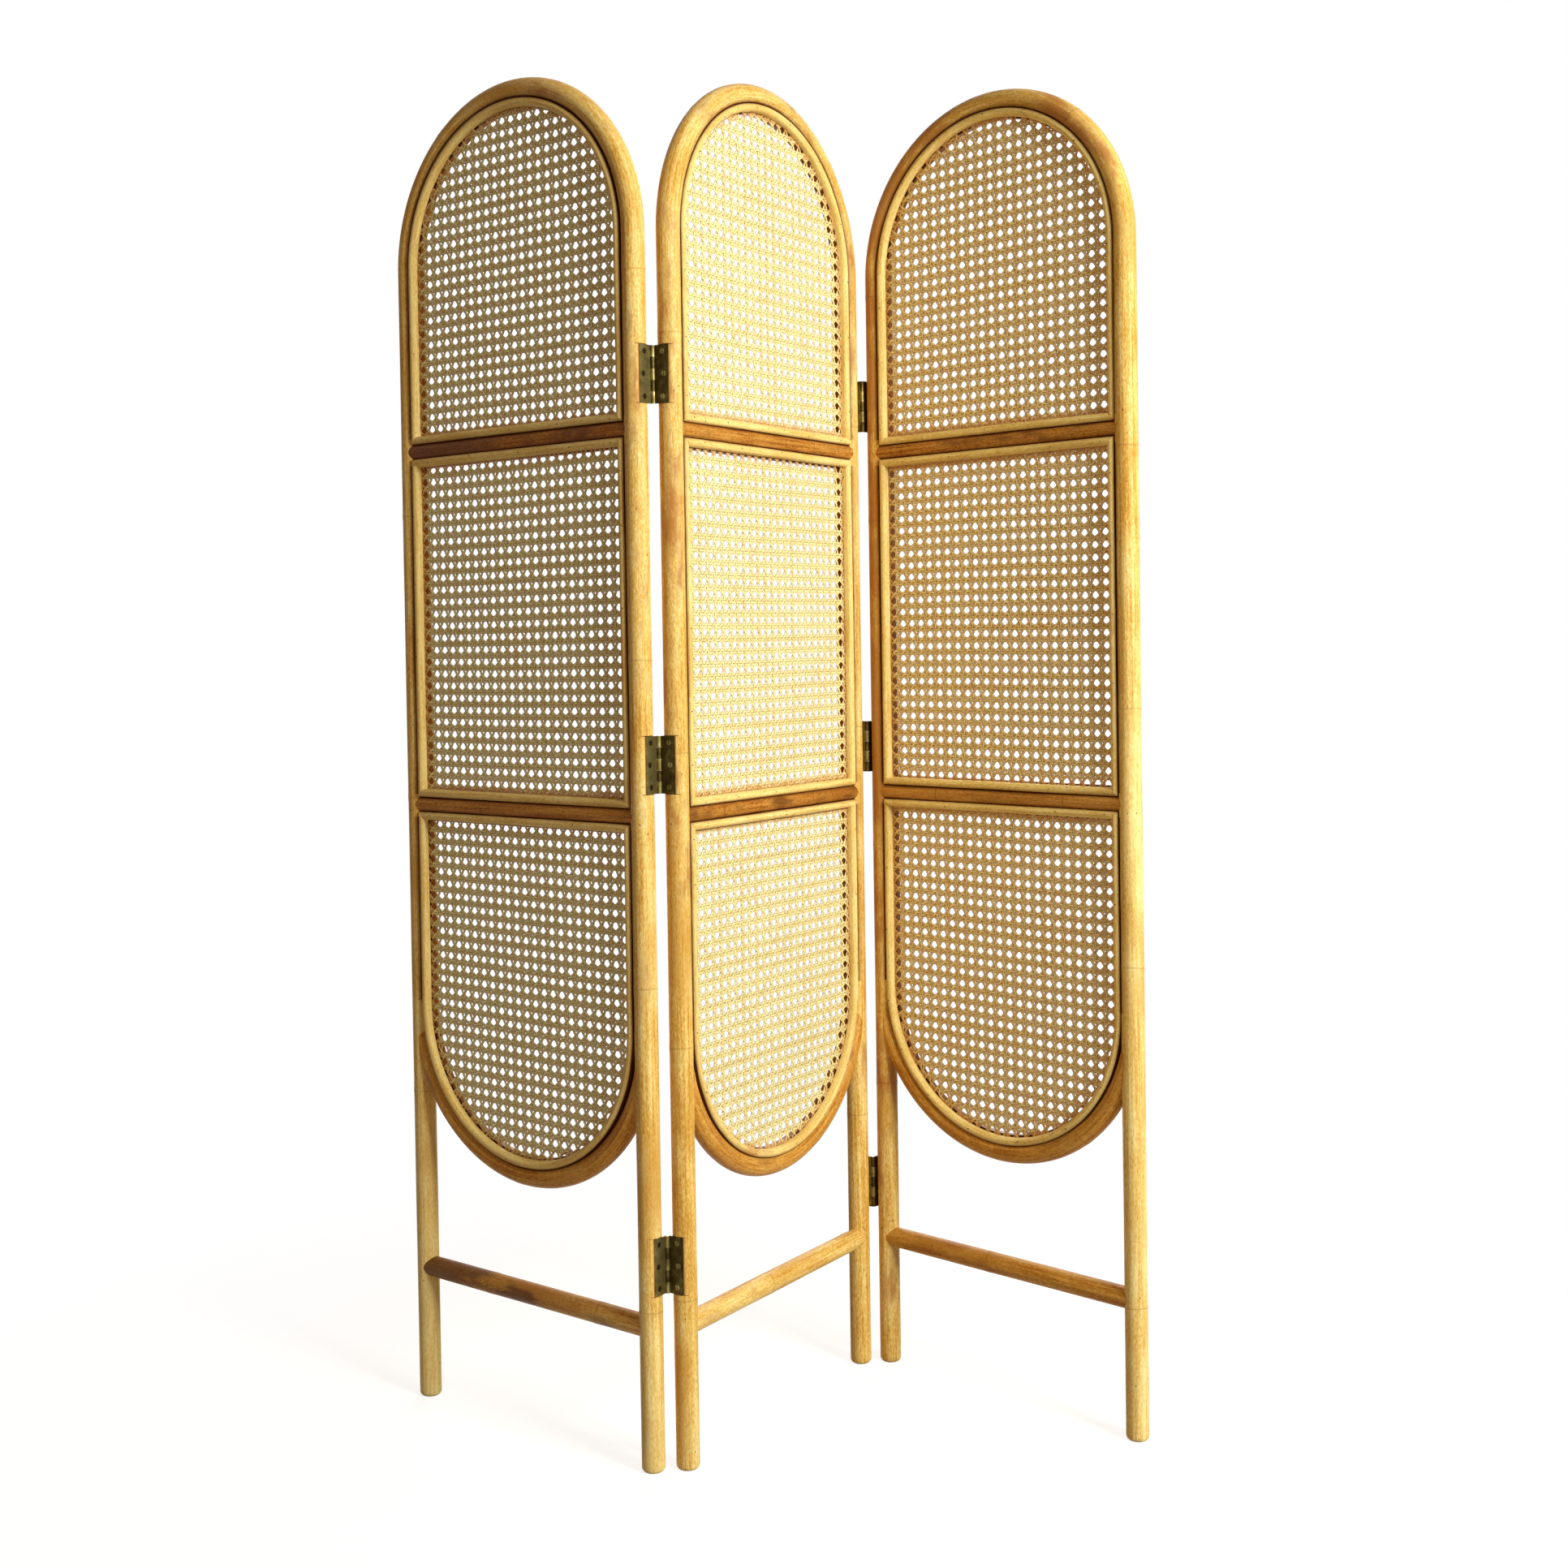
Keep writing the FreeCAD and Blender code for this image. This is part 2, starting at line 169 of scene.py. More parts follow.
def piece(name, points, quads, values, material, panel, slot, *nodes):
    """Object of closed quad shells, given in a panel's frame, that stands for CAD nodes."""
    mesh = bpy.data.meshes.new(name)
    mesh.vertices.add(len(points))
    mesh.vertices.foreach_set("co", panel.place(points).astype(np.float32).ravel())
    mesh.loops.add(quads.size)
    mesh.loops.foreach_set("vertex_index", quads.astype(np.int32).ravel())
    mesh.polygons.add(len(quads))
    mesh.polygons.foreach_set("loop_start", np.arange(0, quads.size, 4, dtype=np.int32))
    mesh.update(calc_edges=True)
    for label, value in values.items():
        kind, key = ("FLOAT_VECTOR", "vector") if value.ndim == 2 else ("FLOAT", "value")
        attribute = mesh.attributes.new(label, kind, "POINT")
        attribute.data.foreach_set(key, value.astype(np.float32).ravel())
    mesh.shade_smooth()
    mesh.set_sharp_from_angle(angle=math.radians(sharp_angle))
    mesh.materials.append(material)
    made = bpy.data.objects.new(name, mesh)
    bpy.context.scene.collection.objects.link(made)
    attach(made, panel.body)
    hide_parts(*nodes)


def merged(parts):
    """One set of points, quads and values from several."""
    start = np.cumsum([0] + [len(part[0]) for part in parts])
    points = np.concatenate([part[0] for part in parts])
    quads = np.concatenate([part[1] + offset for part, offset in zip(parts, start)])
    values = {
        label: np.concatenate([part[2][label] for part in parts]) for label in parts[0][2]
    }
    return points, quads, values


def ring_quads(count, sides):
    """Quads of a closed tube of rings, with both ends filled."""
    ring = np.arange(count * sides).reshape(count, sides)
    ahead = np.roll(ring, -1, axis=1)
    walls = np.stack([ring[:-1], ahead[:-1], ahead[1:], ring[1:]], axis=2).reshape(-1, 4)
    k = np.arange(sides // 2 - 1)
    fill = np.stack([k, k + 1, sides - 2 - k, sides - 1 - k], axis=1)
    return np.concatenate([walls, ring[0][fill][:, ::-1], ring[-1][fill]])


class Path:
    """Points across and up in a panel, with the direction of travel at each."""

    def __init__(self, points, heading):
        self.points = np.array(points, float)
        self.heading = np.array(heading, float)

    def then(self, other):
        points = np.concatenate([self.points, other.points[1:]])
        heading = np.concatenate([self.heading, other.heading[1:]])
        return Path(points, heading)

    def length_along(self):
        steps = np.linalg.norm(np.diff(self.points, axis=0), axis=1)
        return np.concatenate([[0.0], np.cumsum(steps)])


def line(start, end, stations=None):
    """Straight path with rings at even steps, or at given distances from its start."""
    start, end = np.array(start), np.array(end)
    length = np.linalg.norm(end - start)
    heading = (end - start) / length
    if stations is None:
        stations = np.linspace(0, length, max(2, round(length / ring_step) + 1))
    return Path(start + np.outer(stations, heading), np.tile(heading, (len(stations), 1)))


def bend(centre_height, radius, start, end):
    """Clockwise arc about the panel's middle line, between two angles from its right side."""
    count = round(math.radians(start - end) * radius / ring_step) + 1
    angle = np.radians(np.linspace(start, end, count))
    points = np.stack([radius * np.cos(angle), centre_height + radius * np.sin(angle)], axis=1)
    return Path(points, np.stack([np.sin(angle), -np.cos(angle)], axis=1))


def sweep(path, rings):
    """Points and quads of rings, given as inward and front distances, carried along a path."""
    inward = np.stack([path.heading[:, 1], -path.heading[:, 0]], axis=1)
    flat = path.points[:, None] + rings[..., :1] * inward[:, None]
    points = np.stack([flat[..., 0], -rings[..., 1], flat[..., 1]], axis=2)
    return points.reshape(-1, 3), ring_quads(*rings.shape[:2])


def node_places(length, spacing, random):
    """Where the stem's nodes lie along a length of it."""
    places = [random.uniform(0.2, 1.0) * spacing]
    while places[-1] < length:
        places.append(places[-1] + random.uniform(0.7, 1.3) * spacing)
    return np.array(places)


def crease_angle(radius):
    """Angle round a pole, from inward to the front, at which a bead's crown meets it."""
    middle = radius + bead_middle
    apart = math.hypot(middle, bead_crown)
    share = (apart**2 + radius**2 - bead_half_width**2) / (2 * apart * radius)
    return math.atan2(bead_crown, middle) + math.acos(share)


def spread(tone, count):
    """Tone of each ring, from one tone or from several at even steps along the stem."""
    tones = np.atleast_1d(tone)
    return np.interp(np.linspace(0, 1, count), np.linspace(0, 1, len(tones)), tones)


def stem(path, radius, sides, spacing, random, tone, creases=(), shadow=1.0, cut=None, wear=()):
    """Rattan stem along a path. Its rings swell at the nodes, and its outside may be cut flat.

    Creases are the angles, ring by ring, at which beads meet the stem; the colour is darkened along them as
    painted shade, and shadow widens that band.
    """
    along = path.length_along()
    radius = np.broadcast_to(radius, along.shape)
    away = along[:, None] - node_places(along[-1], spacing, random)
    nearest = np.take_along_axis(away, np.abs(away).argmin(axis=1)[:, None], axis=1)[:, 0]
    swell = node_swell * np.exp(-((nearest / node_length) ** 2))
    phase = random.uniform(0, 6, 3)
    short, long = uneven_lengths
    swell += uneven_swell * np.sin(along / short + phase[0]) * np.sin(along / long + phase[1])
    angle = np.linspace(0, 2 * math.pi, sides, endpoint=False)
    size = (radius + swell)[:, None]
    rings = np.stack([size * np.cos(angle), size * np.sin(angle)], axis=2)
    crease = np.full(rings.shape[:2], no_crease)
    for lines in creases:
        crease = np.fmin(crease, size * np.abs(angle - lines[:, None]) / shadow)
    sawn = np.zeros(rings.shape[:2])
    if cut is not None:
        sawn = (rings[..., 0] < -cut[:, None]).astype(float)
        rings[..., 0] = np.maximum(rings[..., 0], -cut[:, None])
    sawn[radius < foot_face * radius.max()] = 1.0
    points, quads = sweep(path, rings)
    along_ring = np.repeat(along[:, None], sides, axis=1)
    grain = np.concatenate([rings, along_ring[..., None] + random.uniform(0, 9)], axis=2)
    worn = np.zeros(len(points))
    for z in wear:
        worn += np.exp(-(((points[:, 2] - z) / wear_reach) ** 2))
    values = {
        "grain": grain.reshape(-1, 3),
        "node": np.repeat(nearest, sides),
        "sawn": sawn.ravel(),
        "wear": worn,
        "crease": crease.ravel(),
        "tone": np.repeat(spread(tone, len(along)), sides),
    }
    return shell(points, quads, values)


def leg_rings(cuts, side):
    """Height, radius and depth of cut of a leg's rings, from the floor up."""
    whole = 2 * pole_radius
    saw = flat_distance - kerf_overrun
    rings = []
    for angle in np.radians([90, 72, 54, 36, 18]):
        low = foot_rounding * (1 - math.sin(angle))
        rings.append((low, pole_radius - foot_rounding * (1 - math.cos(angle)), whole))
    heights = np.linspace(foot_rounding, arch_centre, round(arch_centre / ring_step))
    spans = [(low, high) for cut_side, low, high in cuts if cut_side == side]
    for z in heights:
        if not any(low - ring_step < z < high + ring_step for low, high in spans):
            rings.append((z, pole_radius, whole))
    for low, high in spans:
        under, over = low - kerf_width, high + kerf_width
        steps = [(under, whole), (under, saw), (low, saw), (low, flat_distance)]
        steps += [(high, flat_distance), (high, saw), (over, saw), (over, whole)]
        rings += [(z, pole_radius, depth) for z, depth in steps]
    return np.array(sorted(rings, key=lambda ring: ring[0]))


def frame_stem(panel, random, tone):
    """Pole bent into two legs and an arch, with flats sawn for the hinges."""
    left = leg_rings(panel.hinge_cuts(), -1)
    right = leg_rings(panel.hinge_cuts(), 1)[::-1]
    path = line((-half_spacing, 0), (-half_spacing, arch_centre), left[:, 0])
    arch = bend(arch_centre, half_spacing, 180, 0)
    down = arch_centre - right[:, 0]
    path = path.then(arch).then(line((half_spacing, arch_centre), (half_spacing, 0), down))
    extra = len(path.points) - len(left) - len(right)
    radius = np.concatenate([left[:, 1], np.full(extra, pole_radius), right[:, 1]])
    cut = np.concatenate([left[:, 2], np.full(extra, 2 * pole_radius), right[:, 2]])
    up = path.points[:, 1]
    beaded = up > bowl_centre
    for height in (upper_bar_height, lower_bar_height):
        beaded &= np.abs(up - height) > bar_radius
    creases = [np.where(beaded, crease_angle(pole_radius), np.nan)]
    wear = (upper_bar_height, lower_bar_height, stretcher_height)
    return stem(path, radius, pole_sides, frame_nodes, random, tone, creases, frame_shadow, cut, wear)


def bar_stem(height, radius, spacing, random, tone, beaded=True):
    """Level stem whose ends run into the legs, with beads below and above it."""
    path = line((-half_spacing, height), (half_spacing, height))
    lower = np.full(len(path.points), crease_angle(radius))
    creases = [lower, math.pi - lower] if beaded else []
    return stem(path, radius, bar_sides, spacing, random, tone, creases, bar_shadow)


def rail_stem(random):
    """Lower rail, bent downwards, whose ends run into the legs."""
    hidden = 10
    path = bend(rail_centre, rail_bend, -hidden, hidden - 180)
    outside = np.hypot(path.points[:, 0], path.points[:, 1] - bowl_centre) - half_spacing
    bead_edge = pole_radius + bead_middle - bead_half_width + outside
    creases = [np.arccos(np.minimum(1.0, bead_edge / lower_rail_radius))]
    tone = random.uniform(0.3, 0.7)
    return stem(path, lower_rail_radius, bar_sides, rail_nodes, random, tone, creases, rail_shadow)


def bead_section(radius):
    """Half-round bead beside a pole: inward and front distances from the pole's axis.

    Also how far round the section each point lies from the bead's edges, which sets the painted shade there.
    """
    middle = radius + bead_middle
    angle = np.linspace(0, math.pi, crown_steps + 1)
    crown = [middle, bead_crown] + bead_half_width * np.stack([np.cos(angle), np.sin(angle)], axis=1)
    turn = crease_angle(radius)
    edge = math.atan2(radius * math.sin(turn) - bead_crown, radius * math.cos(turn) - middle)
    crease = bead_half_width * np.abs(angle - edge % (2 * math.pi))
    base = cane_depth + cane_room
    foot = [(middle + way * bead_half_width, base) for way in (-1, 0, 1)]
    return np.concatenate([crown, foot]), np.concatenate([crease, [0.0, 0.0, near_crease_shade]])


def rear_section(radius):
    """Rear bead beside a pole: inward and front distances from the pole's axis.

    Also how far each point lies from the cane, which sets the painted shade along it.
    """
    inner = pole_radius + rear_bead_reach
    top = cane_depth - cane_room
    base = top - rear_bead_depth
    angle = np.radians([0, 30, 60, 90])
    corner = [inner - rear_bead_round, base + rear_bead_round]
    rounded = corner + rear_bead_round * np.stack([np.cos(angle), -np.sin(angle)], axis=1)
    side = np.concatenate([[(inner, top)], rounded])
    front = np.linspace(base, top, len(side))
    hollow = np.stack([np.sqrt((pole_radius + bead_gap) ** 2 - front**2), front], axis=1)
    section = np.concatenate([side, hollow])
    section[:, 0] += radius - pole_radius
    return section, 2 * (top - section[:, 1]) + near_crease_shade


def brads(path, radius, random):
    """Small nail heads along a bead's crown."""
    along = path.length_along()
    places = np.arange(random.uniform(0.3, 0.7) * brad_spacing, along[-1], brad_spacing)
    found = []
    for place in places + random.uniform(-0.15, 0.15, len(places)) * brad_spacing:
        ring = np.abs(along - place).argmin()
        ahead = path.heading[ring]
        turn = math.radians(random.uniform(75, 110))
        inward = np.array([ahead[1], 0.0, -ahead[0]])
        outward = math.cos(turn) * inward - math.sin(turn) * np.array([0.0, 1.0, 0.0])
        middle = np.array([path.points[ring, 0], -bead_crown, path.points[ring, 1]])
        middle = middle + (radius + bead_middle) * inward + bead_half_width * outward
        found.append(brad(middle, outward, np.array([ahead[0], 0.0, ahead[1]])))
    return found


def brad(middle, outward, ahead):
    """Domed nail head."""
    aside = np.cross(outward, ahead)
    angle = np.linspace(0, 2 * math.pi, 8, endpoint=False)[:, None]
    around = np.cos(angle) * ahead + np.sin(angle) * aside
    rings = [(brad_radius, -0.5 * MM), (brad_radius, 0.1 * MM), (0.6 * brad_radius, 0.25 * MM)]
    points = np.concatenate([middle + height * outward + size * around for size, height in rings])
    blank = np.zeros(len(points))
    values = {
        "grain": points,
        "node": blank + no_node,
        "sawn": blank,
        "wear": blank,
        "crease": blank,
        "tone": blank,
    }
    return shell(points, ring_quads(len(rings), len(angle)), values)


def bead(path, section, crease, mitre, random):
    """Bead of a section along a pole's or a bar's axis, with both ends mitred."""
    count, sides = len(path.points), len(section)
    drift = random.standard_normal((count, 1, 1)).cumsum(axis=0)
    rings = section + bead_drift * drift
    points, quads = sweep(path, rings)
    trim = section[:, 0] + mitre + mitre_gap
    for ends, heading in ((slice(0, sides), path.heading[0]), (slice(-sides, None), -path.heading[-1])):
        points[ends, 0] += trim * heading[0]
        points[ends, 2] += trim * heading[1]
    along = np.repeat(path.length_along()[:, None], sides, axis=1)
    grain = np.concatenate([rings, along[..., None] + random.uniform(0, 9)], axis=2)
    values = {
        "grain": grain.reshape(-1, 3),
        "node": np.full(len(points), no_node),
        "sawn": np.zeros(len(points)),
        "wear": np.zeros(len(points)),
        "crease": np.tile(crease, count),
        "tone": np.full(len(points), random.uniform(0, 0.6)),
    }
    return shell(points, quads, values)


def bar_line(height, way):
    """Bar's axis, clockwise round the section that lies above (way 1) or below (way -1) it."""
    return line((way * half_spacing, height), (-way * half_spacing, height))


def leg_line(side, low, high):
    """Leg's axis, clockwise round the section beside it."""
    x = side * half_spacing
    return line((x, high), (x, low)) if side > 0 else line((x, low), (x, high))


def trimmed(path, ends):
    """Path without the rings next to its ends, which a mitre would pass."""
    along = path.length_along()
    keep = (along > ends) & (along < along[-1] - ends)
    keep[0] = keep[-1] = True
    return Path(path.points[keep], path.heading[keep])


def panel_beads(random):
    """Beads of one panel by the CAD node that they stand for."""
    arch = leg_line(-1, upper_bar_height, arch_centre)
    arch = arch.then(bend(arch_centre, half_spacing, 180, 0))
    arch = arch.then(leg_line(1, upper_bar_height, arch_centre))
    bowl = leg_line(1, bowl_centre, lower_bar_height)
    bowl = bowl.then(bend(bowl_centre, half_spacing, 0, -180))
    bowl = bowl.then(leg_line(-1, bowl_centre, lower_bar_height))
    bars = (upper_bar_height, lower_bar_height)
    rails = [bar_line(height, way) for height in bars for way in (1, -1)]
    stiles = [leg_line(side, lower_bar_height, upper_bar_height) for side in (-1, 1)]
    groups = {
        "arch_bead": ([arch], pole_radius, -mitre_step),
        "u_bead": ([bowl], pole_radius, -mitre_step),
        "rail_beads": (rails, bar_radius, mitre_step),
        "stile_beads": (stiles, pole_radius, -mitre_step),
    }
    made = {}
    rear = []
    for node, (paths, radius, mitre) in groups.items():
        front = []
        for path in [trimmed(path, mitre_room) for path in paths]:
            front.append(bead(path, *bead_section(radius), mitre, random))
            front += brads(path, radius, random)
            rear.append(bead(path, *rear_section(radius), mitre, random))
        made[node] = merged(front)
    made["rear_beads"] = merged(rear)
    return made


# Woven cane: upright and level strands in pairs, and two sets of slanting strands
weave_pitch = 15.8 * MM
pair_offset = 1.72 * MM
strand_width = 3.4 * MM
strand_thickness = 0.9 * MM
pair_wave = 0.75 * MM
slant_wave = 1.0 * MM
pair_steps = 5
slant_steps = 4
strand_jitter = 0.15 * MM
lean_size = 1.0 * MM
lean_turn = 0.9
lean_across, lean_up = 0.11, 0.09


class Cane:
    """Outline of one piece of cane, with a half-circle beyond a height where an end is round."""

    def __init__(self, low, high, round_at=None, turn=1):
        self.half = half_spacing - pole_radius - cane_edge
        self.low, self.high, self.round_at, self.turn = low, high, round_at, turn

    def reach(self):
        """Lowest and highest point."""
        low = self.low if self.round_at is None or self.turn > 0 else self.round_at - self.half
        high = self.high if self.round_at is None or self.turn < 0 else self.round_at + self.half
        return low, high

    def margin(self, x, z):
        """How far points lie inside the outline."""
        low, high = self.reach()
        beyond = 0.0 if self.round_at is None else np.maximum(0.0, self.turn * (z - self.round_at))
        return np.minimum(self.half - np.hypot(x, beyond), np.minimum(z - low, high - z))


def strand(x, z, height, margin, aside, random):
    """Flat strand with rounded faces along points of the weave, as rings of four corners."""
    width = strand_width * random.uniform(0.92, 1.06)
    half = np.array([width / 2, 0.0, -width / 2, 0.0])
    thick = np.array([0.0, strand_thickness / 2, 0.0, -strand_thickness / 2])
    points = np.stack(
        [
            x[:, None] + half * aside[0],
            -(cane_depth + height[:, None] + thick),
            z[:, None] + half * aside[1],
        ],
        axis=2,
    )
    count = len(x)
    along = np.hypot(x - x[0], z - z[0])
    grain = np.stack(
        [
            np.tile(half, (count, 1)),
            np.tile(thick, (count, 1)),
            np.repeat(along[:, None] + random.uniform(0, 9), 4, axis=1),
        ],
        axis=2,
    )
    values = {
        "grain": grain.reshape(-1, 3),
        "tone": np.full(4 * count, random.uniform(0, 1)),
        "margin": np.repeat(margin, 4),
        "side": np.tile([1.0, 0.0, 1.0, 0.0], count),
    }
    return shell(points.reshape(-1, 3), ring_quads(count, 4), values)


def weave(cane, shift, random):
    """Chair cane weave over the outline of a piece of cane, shifted across by a share of its pitch."""
    low, high = cane.reach()
    middle = (low + high) / 2
    columns = math.ceil(cane.half / weave_pitch) + 1
    rows = math.ceil((high - low) / 2 / weave_pitch) + 1
    pair_phase = (np.arange(-rows * pair_steps, rows * pair_steps + 1) + 0.5) / pair_steps
    slant_phase = np.arange(-2 * columns * slant_steps, 2 * columns * slant_steps + 1)
    slant_phase = slant_phase / (2 * slant_steps)
    lean = random.uniform(-1, 1, 4)
    rise = random.uniform(-0.3, 0.3)
    found = []

    def add(across, up, height, aside):
        """Strand from lattice coordinates, drawn in a little unevenly and clipped to the outline."""
        stray = random.normal(0, strand_jitter)
        x = (across + shift) * weave_pitch + stray * aside[0]
        z = middle + (up + rise) * weave_pitch + stray * aside[1]
        x = x + lean_size * lean[0] * np.sin(z / lean_across + lean_turn * lean[1])
        z = z + lean_size * lean[2] * np.sin(x / lean_up + lean_turn * lean[3])
        margin = cane.margin(x, z)
        inside = margin > 0
        if inside.sum() > 3:
            kept = [values[inside] for values in (x, z, height, margin)]
            found.append(strand(*kept, aside, random))

    offset = pair_offset / weave_pitch
    for column in range(-columns, columns):
        for side in (-1, 1):
            across = column + 0.5 + side * offset
            wave = side * pair_wave * np.sin(2 * math.pi * (pair_phase - 0.5))
            add(np.full_like(pair_phase, across), pair_phase, wave, (1.0, 0.0))
    for row in range(-rows, rows):
        for side in (-1, 1):
            up = row + 0.5 + side * offset
            wave = -side * pair_wave * np.sin(2 * math.pi * (pair_phase - 0.5))
            add(pair_phase, np.full_like(pair_phase, up), wave, (0.0, 1.0))
    slant = math.sqrt(0.5)
    for k in range(-2 * rows, 2 * rows + 1):
        for way in (-1, 1):
            across = slant_phase
            up = k + 0.5 - way * across
            wave = way * slant_wave * np.cos(2 * math.pi * (across - 0.5))
            add(across, up, wave, (slant, way * slant))
    return merged(found)


def canes():
    """Outlines of the three pieces of cane of a panel by the CAD node that they stand for."""
    edge = bar_radius + cane_edge
    return {
        "cane_top": Cane(upper_bar_height + edge, arch_centre, arch_centre, 1),
        "cane_middle": Cane(lower_bar_height + edge, upper_bar_height - edge),
        "cane_bottom": Cane(bowl_centre, lower_bar_height - edge, bowl_centre, -1),
    }


def srgb(red, green, blue):
    """Linear colour from the usual 0 to 255 values."""
    share = np.array([red, green, blue]) / 255
    curve = np.where(share <= 0.04045, share / 12.92, ((share + 0.055) / 1.055) ** 2.4)
    return (*curve.tolist(), 1.0)


class Finish:
    """Material under construction, with short calls for the nodes it uses."""

    def __init__(self, name):
        self.material = bpy.data.materials.new(name)
        self.material.use_nodes = True
        self.tree = self.material.node_tree
        self.shader = self.tree.nodes["Principled BSDF"]

    def put(self, socket, value):
        """Constant on a socket, or a link to it."""
        if isinstance(value, bpy.types.NodeSocket):
            self.tree.links.new(value, socket)
        else:
            socket.default_value = value

    def attribute(self, name):
        node = self.tree.nodes.new("ShaderNodeAttribute")
        node.attribute_name = name
        return node.outputs

    def place(self):
        """Position in the object, for pieces that carry no grain of their own."""
        return self.tree.nodes.new("ShaderNodeTexCoord").outputs["Object"]

    def stretch(self, vector, scale):
        node = self.tree.nodes.new("ShaderNodeMapping")
        self.put(node.inputs["Vector"], vector)
        node.inputs["Scale"].default_value = scale
        return node.outputs["Vector"]

    def noise(self, vector, scale, detail=3.0, roughness=0.55):
        node = self.tree.nodes.new("ShaderNodeTexNoise")
        self.put(node.inputs["Vector"], vector)
        node.inputs["Scale"].default_value = scale
        node.inputs["Detail"].default_value = detail
        node.inputs["Roughness"].default_value = roughness
        return node.outputs["Fac"]

    def dots(self, vector, scale):
        """Distance from the nearest of many scattered points."""
        node = self.tree.nodes.new("ShaderNodeTexVoronoi")
        self.put(node.inputs["Vector"], vector)
        node.inputs["Scale"].default_value = scale
        return node.outputs["Distance"]

    def math(self, operation, first, second=0.0):
        node = self.tree.nodes.new("ShaderNodeMath")
        node.operation = operation
        self.put(node.inputs[0], first)
        self.put(node.inputs[1], second)
        return node.outputs[0]

    def blend(self, *shares):
        """Sum of values, each times its share."""
        total = 0.0
        for value, share in shares:
            total = self.math("ADD", self.math("MULTIPLY", value, share), total)
        return total

    def span(self, value, low, high, to_low=0.0, to_high=1.0):
        """Value mapped smoothly from one range to another."""
        node = self.tree.nodes.new("ShaderNodeMapRange")
        node.interpolation_type = "SMOOTHSTEP"
        self.put(node.inputs["Value"], value)
        limits = {"From Min": low, "From Max": high, "To Min": to_low, "To Max": to_high}
        for label, limit in limits.items():
            node.inputs[label].default_value = limit
        return node.outputs["Result"]

    def ramp(self, value, *stops):
        node = self.tree.nodes.new("ShaderNodeValToRGB")
        self.put(node.inputs["Fac"], value)
        elements = node.color_ramp.elements
        while len(elements) < len(stops):
            elements.new(1.0)
        for element, (position, colour) in zip(elements, stops):
            element.position = position
            element.color = colour
        return node.outputs["Color"]

    def mix(self, factor, first, second):
        node = self.tree.nodes.new("ShaderNodeMix")
        node.data_type = "RGBA"
        self.put(node.inputs[0], factor)
        self.put(node.inputs[6], first)
        self.put(node.inputs[7], second)
        return node.outputs[2]

    def bump(self, height, distance):
        node = self.tree.nodes.new("ShaderNodeBump")
        self.put(node.inputs["Height"], height)
        node.inputs["Distance"].default_value = distance
        self.put(self.shader.inputs["Normal"], node.outputs["Normal"])

    def finish(self, colour, roughness, metallic=0.0, gloss=0.5):
        self.put(self.shader.inputs["Base Color"], colour)
        self.put(self.shader.inputs["Roughness"], roughness)
        self.shader.inputs["Metallic"].default_value = metallic
        self.put(self.shader.inputs["Specular IOR Level"], gloss)
        return self.material


